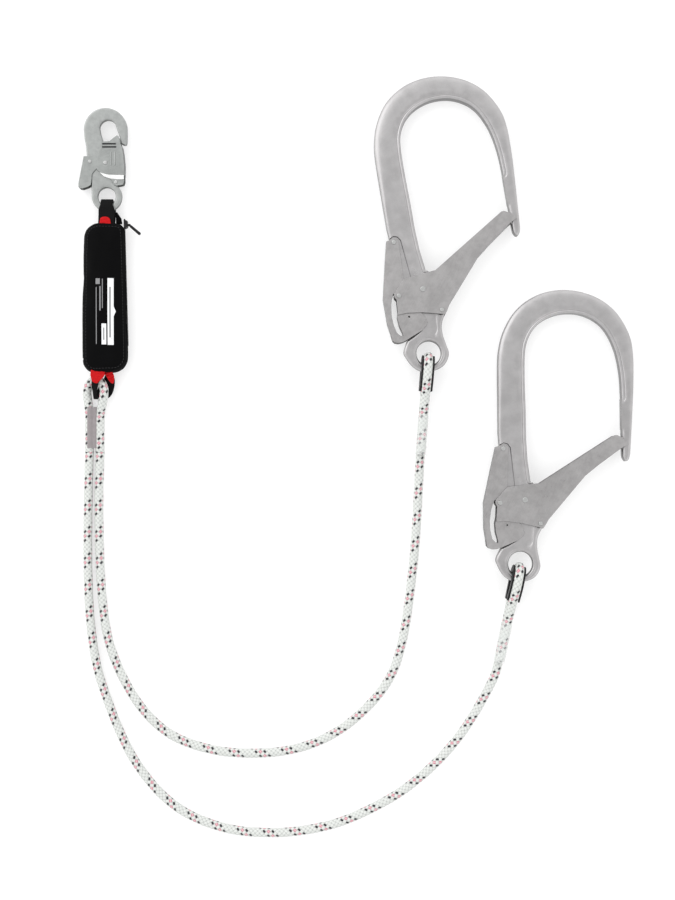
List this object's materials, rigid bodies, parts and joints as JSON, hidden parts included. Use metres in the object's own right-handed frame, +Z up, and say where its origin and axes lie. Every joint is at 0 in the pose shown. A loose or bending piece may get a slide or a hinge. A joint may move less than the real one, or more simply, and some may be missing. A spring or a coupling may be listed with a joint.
{
  "type": "shock absorbing lanyard",
  "caption": "Twin-leg rope lanyard with a sewn tear-webbing shock absorber, a small double-action snap hook and large scaffold hooks on spliced rope eyes",
  "frame": {"origin": "on the floor plane under the middle of the bounding box of the metal and cloth parts", "axes": "+Z up from the floor the lanyard lies on; +Y along the spine of the second scaffold hook, from its eye to its arch; +X across, from the absorber to the scaffold hooks"},
  "size_m": [0.688, 0.946, 0.0411],
  "materials": {
    "cloth": "coated woven cloth",
    "label": "pressed print",
    "red": "woven webbing",
    "webbing": "woven webbing",
    "plastic": "moulded",
    "rope": "braided, white with dark and red tracers",
    "thread": "sewn binding",
    "sleeve": "clear heat-shrink tube",
    "forged": "forged and tumbled satin",
    "sheet": "satin plated sheet",
    "zinc": "satin zinc plated",
    "rivet": "turned",
    "spring": "drawn wire"
  },
  "bodies": {
    "absorber": {"pouch_front": "cloth", "pouch_back": "cloth", "pouch_label": "label", "tear_webbing_pack": "red", "top_loop": "webbing", "top_red_tab": "red", "bottom_loop": "webbing", "bottom_red_left": "red", "bottom_red_right": "red", "zipper_tail": "cloth", "zipper_chain": "plastic", "rope_leg_1": "rope", "rope_leg_2": "rope", "rope_bight": "rope", "rope_seizing": "thread", "hook_1_rope_eye": "rope", "hook_1_thimble": "plastic", "hook_1_splice_sleeve": "sleeve", "hook_2_rope_eye": "rope", "hook_2_thimble": "plastic", "hook_2_splice_sleeve": "sleeve"},
    "zipper_slider": {"zipper_slider": "plastic"},
    "zipper_pull": {"zipper_pull": "plastic"},
    "snap_hook": {"snap_body": "zinc", "snap_gate_rivet": "rivet", "snap_lever_rivet": "rivet", "snap_gate_spring": "spring", "snap_lever_spring": "spring"},
    "snap_gate": {"snap_gate": "zinc", "snap_stop_pin": "rivet"},
    "snap_lever": {"snap_lock_lever": "zinc"},
    "hook_1": {"hook_1_body": "forged", "hook_1_lever_pivot_rivet": "rivet", "hook_1_gate_pivot_rivet": "rivet", "hook_1_lever_spring": "spring", "hook_1_gate_spring": "spring"},
    "hook_1_gate": {"hook_1_gate": "sheet", "hook_1_lock_pin": "rivet", "hook_1_stop_pin": "rivet"},
    "hook_1_lever": {"hook_1_lock_lever": "sheet"},
    "hook_2": {"hook_2_body": "forged", "hook_2_lever_pivot_rivet": "rivet", "hook_2_gate_pivot_rivet": "rivet", "hook_2_lever_spring": "spring", "hook_2_gate_spring": "spring"},
    "hook_2_gate": {"hook_2_gate": "sheet", "hook_2_lock_pin": "rivet", "hook_2_stop_pin": "rivet"},
    "hook_2_lever": {"hook_2_lock_lever": "sheet"}
  },
  "joints": [
    {"name": "zipper_run", "type": "slide", "parent": "absorber", "child": "zipper_slider", "axis": [0.0279, -0.9996, 0], "range_m": [0, 0.145]},
    {"name": "zipper_pull_hinge", "type": "hinge", "parent": "zipper_slider", "child": "zipper_pull", "pos_m": [-0.28105, 0.1762, 0.015], "axis": [0, 0, 1], "range_deg": [-44, 75]},
    {"name": "snap_hook_swing", "type": "hinge", "parent": "absorber", "child": "snap_hook", "pos_m": [-0.3094, 0.2079, 0.0086], "axis": [0, 0, 1], "range_deg": [-10, 10]},
    {"name": "snap_gate_hinge", "type": "hinge", "parent": "snap_hook", "child": "snap_gate", "pos_m": [-0.3108, 0.2535, 0.0086], "axis": [0, 0, 1], "range_deg": [0, 28], "stiffness_Nm_per_rad": 0.06, "springref_deg": -20.05},
    {"name": "snap_lever_hinge", "type": "hinge", "parent": "snap_hook", "child": "snap_lever", "pos_m": [-0.3301, 0.2553, 0.0086], "axis": [0, 0, 1], "range_deg": [0, 12], "stiffness_Nm_per_rad": 0.03, "springref_deg": -20.05},
    {"name": "hook_1_swing", "type": "hinge", "parent": "absorber", "child": "hook_1", "pos_m": [0.08904, 0.01311, 0.0207], "axis": [0, 0, 1], "range_deg": [-8, 18]},
    {"name": "hook_1_gate_hinge", "type": "hinge", "parent": "hook_1", "child": "hook_1_gate", "pos_m": [0.08221, 0.09541, 0.01781], "axis": [-0.0058, 0.0362, 0.9993], "range_deg": [0, 36], "stiffness_Nm_per_rad": 0.25, "springref_deg": -20.05},
    {"name": "hook_1_lever_hinge", "type": "hinge", "parent": "hook_1", "child": "hook_1_lever", "pos_m": [0.04641, 0.15366, 0.01549], "axis": [-0.0058, 0.0362, 0.9993], "range_deg": [0, 10.44], "stiffness_Nm_per_rad": 0.12, "springref_deg": -20.05},
    {"name": "hook_2_swing", "type": "hinge", "parent": "absorber", "child": "hook_2", "pos_m": [0.2017, -0.24653, 0.0207], "axis": [0, 0, 1], "range_deg": [-18, 6]},
    {"name": "hook_2_gate_hinge", "type": "hinge", "parent": "hook_2", "child": "hook_2_gate", "pos_m": [0.2078, -0.16415, 0.01781], "axis": [0, 0.0366, 0.9993], "range_deg": [0, 36], "stiffness_Nm_per_rad": 0.25, "springref_deg": -20.05},
    {"name": "hook_2_lever_hinge", "type": "hinge", "parent": "hook_2", "child": "hook_2_lever", "pos_m": [0.1816, -0.101, 0.01549], "axis": [0, 0.0366, 0.9993], "range_deg": [0, 10.44], "stiffness_Nm_per_rad": 0.12, "springref_deg": -20.05}
  ],
  "couplings": [
    {"joint": "snap_lever_hinge", "follows": "snap_gate_hinge", "ratio": 0.4286},
    {"joint": "hook_1_lever_hinge", "follows": "hook_1_gate_hinge", "ratio": 0.29},
    {"joint": "hook_2_lever_hinge", "follows": "hook_2_gate_hinge", "ratio": 0.29}
  ]
}
